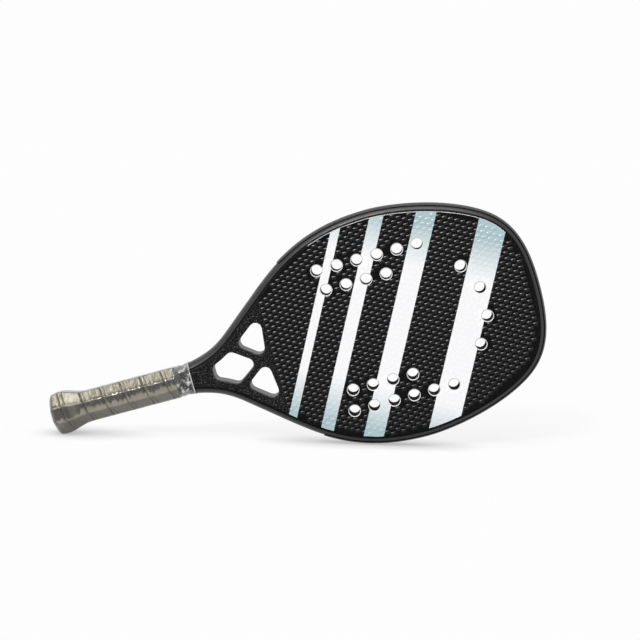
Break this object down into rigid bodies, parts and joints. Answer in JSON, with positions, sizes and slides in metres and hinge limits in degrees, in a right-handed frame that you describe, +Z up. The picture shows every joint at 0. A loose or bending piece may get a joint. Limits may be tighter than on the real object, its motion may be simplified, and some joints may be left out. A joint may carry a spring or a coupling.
{
  "type": "beach tennis racket",
  "caption": "Carbon-framed paddle racket with a perforated rounded head, an open throat and a wrapped, flared octagonal handle.",
  "frame": {"origin": "on the floor, under the middle of the racket as it stands on its edge", "axes": "+Z up; +X from the butt towards the tip, level with the floor; +Y into the picture, so the front face looks along -Y"},
  "size_m": [0.49, 0.038, 0.2411],
  "materials": {
    "frame_laminate": "satin lacquered carbon laminate, near black",
    "throat_laminate": "satin lacquered carbon laminate, near black",
    "core_foam": "black closed-cell foam, seen only on the walls of the holes",
    "face_laminate": "embossed black carbon laminate with printed pale bands",
    "guard_strip": "satin dark strip",
    "handle_plastic": "moulded, hidden under the grip",
    "cap_plastic": "moulded, fine grain",
    "grip_tape": "soft synthetic leather tape, warm grey, wound with overlapping edges",
    "collar_rubber": "plain black rubber",
    "clear_film": "clear shrink film with fine wrinkles"
  },
  "bodies": {
    "root": {"frame_tube": "frame_laminate", "throat_bridge": "throat_laminate", "foam_core": "core_foam", "front_face_sheet": "face_laminate", "back_face_sheet": "face_laminate", "edge_guard": "guard_strip", "handle_half_front": "handle_plastic", "handle_half_back": "handle_plastic", "butt_cap": "cap_plastic", "grip_band": "grip_tape", "grip_collar": "collar_rubber", "grip_film": "clear_film"}
  },
  "joints": []
}
